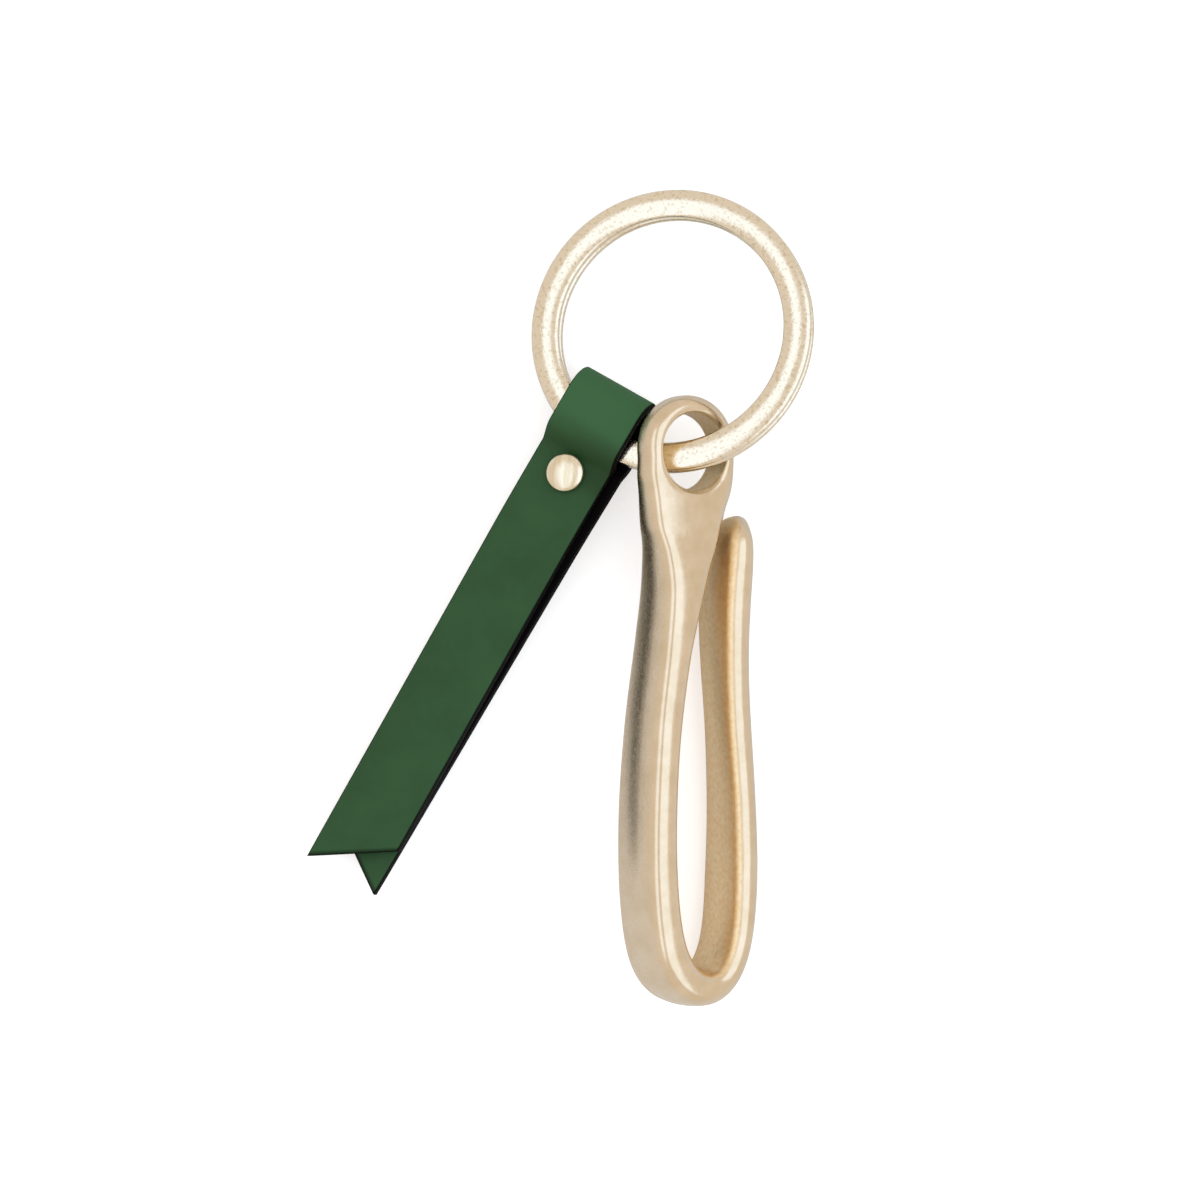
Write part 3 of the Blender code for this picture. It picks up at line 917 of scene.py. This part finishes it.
    def build(self) -> bpy.types.Object:
        """Build the run, join the eye on, cut the hole, wear all of it smooth and dress it.

        Returns:
            The casting.
        """
        bm = bmesh.new()
        extrude_rows(bm, self.rows())
        hook = add_piece("hook_casting", bm)
        eye = add_piece("eye_blank", spin_profile(self.eye_profile(), self.spin_steps))
        eye.data.transform(Matrix.Translation((0, self.eye_crown_offset, 0)))
        hole = add_piece("eye_core", spin_profile(self.hole_profile(), self.spin_steps))
        add_boolean(hook, "UNION", eye)
        add_boolean(hook, "DIFFERENCE", hole)
        remesh = hook.modifiers.new("skin", "REMESH")
        remesh.mode = "VOXEL"
        remesh.voxel_size = self.voxel
        smooth = hook.modifiers.new("tumbled", "SMOOTH")
        smooth.factor = self.smoothing_factor
        smooth.iterations = self.smoothing
        bake(hook, [eye, hole])
        self.mark_as_cast_and_lit(hook.data)
        hook.data.transform(LAYOUT.hook())
        finish_piece(hook, CastBrass().material(), Body.HOOK, "hook")
        return hook


# Leather strap


@dataclass(frozen=True)
class LeatherStrap:
    """One strip of leather, folded round the wire, with two slanted cuts and a punched hole."""

    centre: float = -2.0483 * MM
    width: float = 10.1 * MM
    thickness: float = 1.5 * MM
    ply_gap: float = 0.3 * MM
    edge_round: float = 0.22 * MM
    loop_clearance: float = 0.3 * MM
    loop_slack: float = 1.95 * MM
    closing_length: float = 2.2 * MM
    bend_length: float = 8.0 * MM
    tail_length: float = 58.2 * MM
    cut_angle: float = 33.0
    droop: float = 3.3424
    back_shift: float = 0.8 * MM
    back_skew: float = 1.2
    rivet_setback: float = 2.3 * MM
    cap_diameter: float = 4.8 * MM
    rivet_clearance: float = 0.3 * MM
    hole_radius: float = 1.7 * MM
    end_inset: float = 0.12 * MM
    bare_rows: int = 12
    cut_steps: int = 60
    bend_steps: int = 16
    laid_steps: int = 12
    rise_steps: int = 16
    flat_steps: int = 10
    fold_steps: int = 24
    hole_steps: int = 48
    rise_length: float = 2.78 * MM
    # Where and how strongly shade and sheen are painted into the strap's colour.
    shade_place: Pair = (3.0 * MM, 1.7 * MM)
    shade_reach: Pair = (1.4 * MM, 3.2 * MM)
    shade_strength: Pair = (0.45, 1.0)
    sheen_start: float = 4.8 * MM
    sheen_reach: float = 2.4 * MM
    ring: SplitRing = SplitRing()

    # The share of edge paint round a corner, from the cut side to the face, and the places of the
    # points across a face, as shares of half its width.
    CORNER_PAINT = (1.0, 1.0, 0.9, 0.35, 0.0)
    FACE_SHARES = (0.6, 0.2, -0.2, -0.6)

    def place(self) -> Matrix:
        """Return the strap's own frame: its middle line on the ring's plane."""
        return LAYOUT.ring() @ Matrix.Translation((self.centre, 0, 0))

    def level(self) -> float:
        """Return the height of a laid ply's middle."""
        return (self.thickness + self.ply_gap) / 2

    def loop_level(self) -> float:
        """Return the height of the leather's middle over the wire."""
        stack = self.ring.turn_height + self.ring.turn_gap / 2
        return stack + self.loop_clearance + self.thickness / 2

    def closing_start(self) -> float:
        """Find where the two plies begin to close below the wire.

        Returns:
            The place along the strap.
        """
        near = abs(self.centre) - self.width / 2
        radius = self.ring.outer_diameter / 2
        return self.loop_clearance - math.sqrt(radius**2 - max(near, 0) ** 2)

    def rivet_line(self) -> float:
        """Return the rivet's place along the strap."""
        return self.closing_start() - self.closing_length - self.rivet_setback

    def fold_centre(self) -> float:
        """Find the fold's centre.

        Returns:
            The place along the strap.
        """
        far = abs(self.centre) + self.width / 2
        radius = self.ring.outer_diameter / 2 - self.ring.band
        inner_half = self.loop_level() - self.thickness / 2
        return self.loop_slack - math.sqrt(radius**2 - far**2) - inner_half

    def tail(self, length: float) -> tuple[float, float, float]:
        """Find the middle between the laid plies.

        Args:
            length: The length past the rivet.

        Returns:
            The place along the strap, the height and the slope in radians.
        """
        straight = self.cap_diameter / 2 + self.rivet_clearance
        bent = max(length - straight, 0)
        past = max(bent - self.bend_length, 0)
        slope = math.radians(self.droop) * min(bent / self.bend_length, 1)
        chord = min(bent, self.bend_length)
        along = min(length, straight) + chord * math.cos(slope / 2) + past * math.cos(slope)
        down = chord * math.sin(slope / 2) + past * math.sin(slope)
        return self.rivet_line() - along, -down, slope

    def beside(self, length: float) -> float:
        """Return how far the back ply lies beside the front one, a length past the rivet."""
        return self.back_shift - length * math.tan(math.radians(self.back_skew))

    def section(self) -> list[tuple[float, float, float]]:
        """Draw the strip's section, with rounded edges.

        Returns:
            Points as (across, up, share of edge paint), once round.
        """
        side, top, turn = self.width / 2, self.thickness / 2, self.edge_round
        points = []
        corners = ((side - turn, top - turn, 0), (turn - side, top - turn, 90))
        corners += ((turn - side, turn - top, 180), (side - turn, turn - top, 270))
        for number, (across, up, start) in enumerate(corners):
            bend = arc((across, up), turn, start, start + 90, len(self.CORNER_PAINT) - 1)
            paint = self.CORNER_PAINT[::-1] if number % 2 else self.CORNER_PAINT
            points += [(x, y, share) for (x, y), share in zip(bend, paint)]
            flats = () if number % 2 else self.FACE_SHARES
            sign = 1 if number == 0 else -1
            points += [(sign * share * (side - turn), sign * top, 0.0) for share in flats]
        return points

    def tail_row(self, length: float, ply: Ply, slanted: bool) -> list[Vector]:
        """Lay one row across a tail.

        Args:
            length: The row's length past the rivet, on the strap's long side.
            ply: Which of the two plies.
            slanted: Whether the row follows the slanted cut.

        Returns:
            The row's points in the strap's frame.
        """
        row = []
        slant = math.tan(math.radians(self.cut_angle))
        for across, up, _ in self.section():
            place = length - ((self.width / 2 + ply.value * across) * slant if slanted else 0.0)
            along, height, slope = self.tail(place)
            level = ply.value * (self.level() + up)
            side = across + (self.beside(place) if ply is Ply.BACK else 0.0)
            along -= level * math.sin(slope)
            row.append(Vector((side, along, height + level * math.cos(slope))))
        return row

    def loop_line(self) -> list[Pair]:
        """Draw the front ply's middle line.

        Returns:
            Points as (along, up), from the rivet to the fold's crown.
        """
        points = []
        start = self.closing_start() - self.closing_length
        for step in range(self.rise_steps + 1):
            share = step / self.rise_steps
            up = self.level() + (self.loop_level() - self.level()) * eased(share)
            points.append((start + self.rise_length * share, up))
        risen = start + self.rise_length
        run = self.fold_centre() - risen
        for step in range(1, self.flat_steps):
            points.append((risen + run * step / self.flat_steps, self.loop_level()))
        for step in range(self.fold_steps + 1):
            angle = math.radians(90 - 90 * step / self.fold_steps)
            radius = self.loop_level()
            points.append((self.fold_centre() + radius * math.cos(angle), radius * math.sin(angle)))
        return points

    def loop_rows(self) -> list[list[Vector]]:
        """Lay the strip round the wire.

        Returns:
            Rows of points, square to the leather's middle line.
        """
        upper = self.loop_line()
        lower = [(along, -up) for along, up in reversed(upper[:-1])]
        line = [Vector(point) for point in upper + lower]
        rows = []
        for number, here in enumerate(line):
            direction = heading(line, number)
            normal = Vector((-direction.y, direction.x))
            moved = self.beside(-self.rivet_setback) * eased(2 * number / (len(line) - 1) - 1)
            row = []
            for across, up, _ in self.section():
                place = here + normal * up
                row.append(Vector((across + moved, place.x, place.y)))
            rows.append(row)
        return rows

    def rows(self) -> list[list[Vector]]:
        """Lay the whole strip.

        Returns:
            Rows of points along the front tail, the loop and the back tail.
        """
        bend_start = self.cap_diameter / 2 + self.rivet_clearance
        bends, laids, cuts = self.bend_steps, self.laid_steps, self.cut_steps
        lengths = [bend_start + self.bend_length * step / bends for step in range(bends, -1, -1)]
        flat = bend_start + self.rivet_setback
        lengths += [bend_start - flat * step / laids for step in range(1, laids)]
        straight = self.tail_length - (bend_start + self.bend_length)
        slanted = [self.tail_length - straight * step / cuts for step in range(cuts)]
        front, back = [], []
        for ply, rows in ((Ply.FRONT, front), (Ply.BACK, back)):
            for number, length in enumerate(slanted):
                full = self.tail_row(length, ply, False)
                cut = self.tail_row(length, ply, True)
                share = 1 - number / len(slanted)
                rows.append([point.lerp(slant, share) for point, slant in zip(full, cut)])
            rows += [self.tail_row(length, ply, False) for length in lengths]
        return front + self.loop_rows() + back[::-1]

    def wear(self, past: float, across: float) -> Pair:
        """Tell how much painted shade and how much painted sheen the leather's colour takes.

        Args:
            past: The place along the strap, from the rivet towards the fold.
            across: The place across the strap.

        Returns:
            Both shares, from nought to about one.
        """
        # Painted shade lies in a band above and round the rivet's cap, and painted sheen rises from
        # there over the loop.
        side = 0.5 + across / self.width
        ends = (self.shade_place, self.shade_reach, self.shade_strength)
        place, reach, strength = (left + (right - left) * side for left, right in ends)
        crease = strength * math.exp(-(((past - place) / reach) ** 4))
        return crease, eased((past - self.sheen_start) / self.sheen_reach)

    def build(self) -> bpy.types.Object:
        """Build and dress the strap.

        Returns:
            The strap.
        """
        bm = bmesh.new()
        # The marks carry the edge paint with painted shade between the plies, a painted sheen and
        # painted shade.
        names = ("edge_paint", "stretch", "crease")
        paint, stretch, crease = map(bm.verts.layers.float.new, names)
        rows = extrude_rows(bm, self.rows())
        for number, row in enumerate(rows):
            # The inner face is bare leather at each cut end. Inside the loop and between the plies
            # it takes the edge paint's black as painted shade.
            gap_shade = 1 - eased(2 - min(number, len(rows) - 1 - number) / self.bare_rows)
            for vert, (across, up, share) in zip(row, self.section()):
                vert[paint] = max(share, gap_shade) if up < 0 else share
                vert[crease], vert[stretch] = self.wear(vert.co.y - self.rivet_line(), across)
        for vert in rows[0] + rows[-1]:
            vert[paint] = 1.0
        ends = [face for face in bm.faces if len(face.verts) > 4]
        bmesh.ops.inset_region(bm, faces=ends, thickness=self.end_inset, use_even_offset=True)
        strap = add_piece("leather_strip", bm)
        end = self.thickness + self.ply_gap + MM
        core = [(0.0, -end), (self.hole_radius, -end), (self.hole_radius, end), (0.0, end)]
        place = Matrix.Translation((0, self.rivet_line(), 0))
        punch = add_piece("punch", spin_profile(core, self.hole_steps), place)
        add_boolean(strap, "DIFFERENCE", punch)
        bake(strap, [punch])
        strap.data.transform(self.place())
        strap.data.set_sharp_from_angle(angle=SHARP_EDGE)
        finish_piece(strap, DyedLeather().material(), Body.STRAP, "leather_strap")
        return strap


# Rivet


@dataclass(frozen=True)
class RivetCap:
    """A pressed cap: a shallow dome with a rolled rim, open below over the flange of its half."""

    diameter: float = 4.8 * MM
    height: float = 1.1 * MM
    wall: float = 0.35 * MM
    rim: float = 0.22 * MM
    base: float = 1.95 * MM
    side_share: float = 0.42
    ceiling_share: float = 0.7
    ceiling_drop: float = 0.1 * MM
    roundness: Pair = (0.75, 1.1)
    rim_steps: int = 4
    dome_steps: int = 16
    spin_steps: int = 96

    def profile(self) -> list[Pair]:
        """Draw the cap's outline, from its ceiling round its rim to its crown.

        Returns:
            Points as (radius, height).
        """
        radius, base, top = self.diameter / 2, self.base, self.base + self.height
        inside, ceiling = radius - self.wall, top - self.wall
        side = base + self.height * self.side_share
        points = [
            (0.0, ceiling), (inside * self.ceiling_share, ceiling - self.ceiling_drop),
            (inside, side), (inside, base), (radius - self.rim / 3, base),
        ]
        points += arc((radius - self.rim, base + self.rim), self.rim, -60, 0, self.rim_steps)
        for step in range(self.dome_steps + 1):
            angle = math.radians(90 * step / self.dome_steps)
            out = math.cos(angle) ** self.roundness[0]
            up = math.sin(angle) ** self.roundness[1]
            points.append((radius * out, side + (top - side) * up))
        points[-1] = (0.0, top)
        return points

    def build(
        self, ply: Ply, cad_node: str, strap: LeatherStrap, material: bpy.types.Material
    ) -> bpy.types.Object:
        """Build and dress one cap.

        Args:
            ply: The side of the strap that the cap lies on.
            cad_node: The node that it stands for.
            strap: The strap that it closes.
            material: The cap's finish.

        Returns:
            The cap.
        """
        profile = [(radius, height * ply.value) for radius, height in self.profile()]
        place = strap.place() @ Matrix.Translation((0, strap.rivet_line(), 0))
        cap = add_piece(cad_node + "_dome", spin_profile(profile, self.spin_steps), place)
        cap.data.set_sharp_from_angle(angle=SHARP_EDGE)
        finish_piece(cap, material, Body.STRAP, cad_node)
        return cap


# Studio


@dataclass(frozen=True)
class SoftBox:
    """A soft light that faces the part, named for its side.

    Reflections see the room through it as well, so its brightness is what it adds to the room's.
    """

    name: str
    lean: float
    size: Pair
    distance: float = 0.85
    brightness: float = 0.85
    colour: str = "#B8DAFF"

    def build(self) -> None:
        """Add the light, leaning from straight above towards its side."""
        light = bpy.data.lights.new("soft_box_" + self.name, "AREA")
        light.color = linear(self.colour)[:3]
        light.shape = "RECTANGLE"
        light.size, light.size_y = self.size
        light.energy = self.brightness * math.pi * self.size[0] * self.size[1]
        lamp = add_object(light.name, light)
        lean = math.radians(self.lean)
        lamp.location = (self.distance * math.sin(lean), 0.0, self.distance * math.cos(lean))
        lamp.rotation_euler = (0.0, lean, 0.0)


@dataclass(frozen=True)
class Studio:
    """A pale table, two wide soft lights with a slot between them, and a camera straight above."""

    camera_place: tuple[float, float, float] = (0.005188, -0.000462, 0.458)
    lens: float = 108.0
    sensor: float = 36.0
    table_size: float = 6.0
    table_colour: str = "#E8E8E8"
    table_roughness: float = 0.9
    table_glow: float = 0.53
    room_colour: str = "#FFF5EA"
    room_strength: float = 0.87
    boxes: tuple[SoftBox, ...] = (
        SoftBox("left", lean=-21.5, size=(0.38, 1.10)),
        SoftBox("right", lean=37.0, size=(0.90, 1.10)),
    )

    def build_table(self) -> None:
        """Add the pale table, which glows for the camera alone: white round the part's shadow."""
        bm = bmesh.new()
        bmesh.ops.create_grid(bm, x_segments=1, y_segments=1, size=self.table_size / 2)
        table = add_piece("table", bm)
        made = bpy.data.materials.new("pale_table")
        made.use_nodes = True
        tree = made.node_tree
        camera_ray = node(tree, "ShaderNodeLightPath").outputs["Is Camera Ray"]
        glow = node(
            tree, "ShaderNodeMath", {"operation": "MULTIPLY", 0: camera_ray, 1: self.table_glow}
        )
        wire(
            tree, tree.nodes["Principled BSDF"], Base_Color=linear(self.table_colour),
            Roughness=self.table_roughness, Specular_IOR_Level=0.0, Emission_Color=linear(WHITE),
            Emission_Strength=glow.outputs[0],
        )
        table.data.materials.append(made)

    def build_room(self) -> None:
        """Light everything softly with a warm white room, which looks plain white to the camera."""
        world = bpy.data.worlds.new("pale_room")
        world.use_nodes = True
        tree = world.node_tree
        camera_ray = node(tree, "ShaderNodeLightPath").outputs["Is Camera Ray"]
        warm, white = linear(self.room_colour), linear(WHITE)
        colour = node(
            tree, "ShaderNodeMix", {"data_type": "RGBA", 0: camera_ray, 6: warm, 7: white}
        )
        strength = node(
            tree, "ShaderNodeMix",
            {"data_type": "FLOAT", 0: camera_ray, 2: self.room_strength, 3: 1.0},
        )
        wire(
            tree, tree.nodes["Background"], Color=colour.outputs[2], Strength=strength.outputs[0]
        )
        bpy.context.scene.world = world

    def build_camera(self) -> None:
        """Add the camera, looking straight down with the hook's ring at the top."""
        data = bpy.data.cameras.new("camera")
        data.lens = self.lens
        data.sensor_width = self.sensor
        camera = add_object("camera", data)
        camera.location = self.camera_place
        bpy.context.scene.camera = camera

    def build(self) -> None:
        """Build the whole studio."""
        self.build_table()
        self.build_room()
        for box in self.boxes:
            box.build()
        self.build_camera()
        settings = bpy.context.scene.view_settings
        settings.view_transform = "Standard"


def dress_core(material: bpy.types.Material, names: tuple[str, ...]) -> None:
    """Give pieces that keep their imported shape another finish.

    Args:
        material: The finish.
        names: The pieces' nodes.
    """
    for name in names:
        thing = frame["nodes"][name]
        thing.data.materials.clear()
        thing.data.materials.append(material)


def main() -> None:
    """Build every piece in order, then the studio."""
    logging.basicConfig(level=logging.INFO, format="%(name)s: %(message)s")
    SplitRing().build()
    HookCasting().build()
    strap = LeatherStrap()
    strap.build()
    cap_finish = BrushedCap().material()
    RivetCap().build(Ply.FRONT, "rivet_front_cap", strap, cap_finish)
    RivetCap().build(Ply.BACK, "rivet_back_cap", strap, cap_finish)
    dress_core(PlainBrass().material(), ("rivet_socket", "rivet_post"))
    Studio().build()


if __name__ == "__main__":
    main()
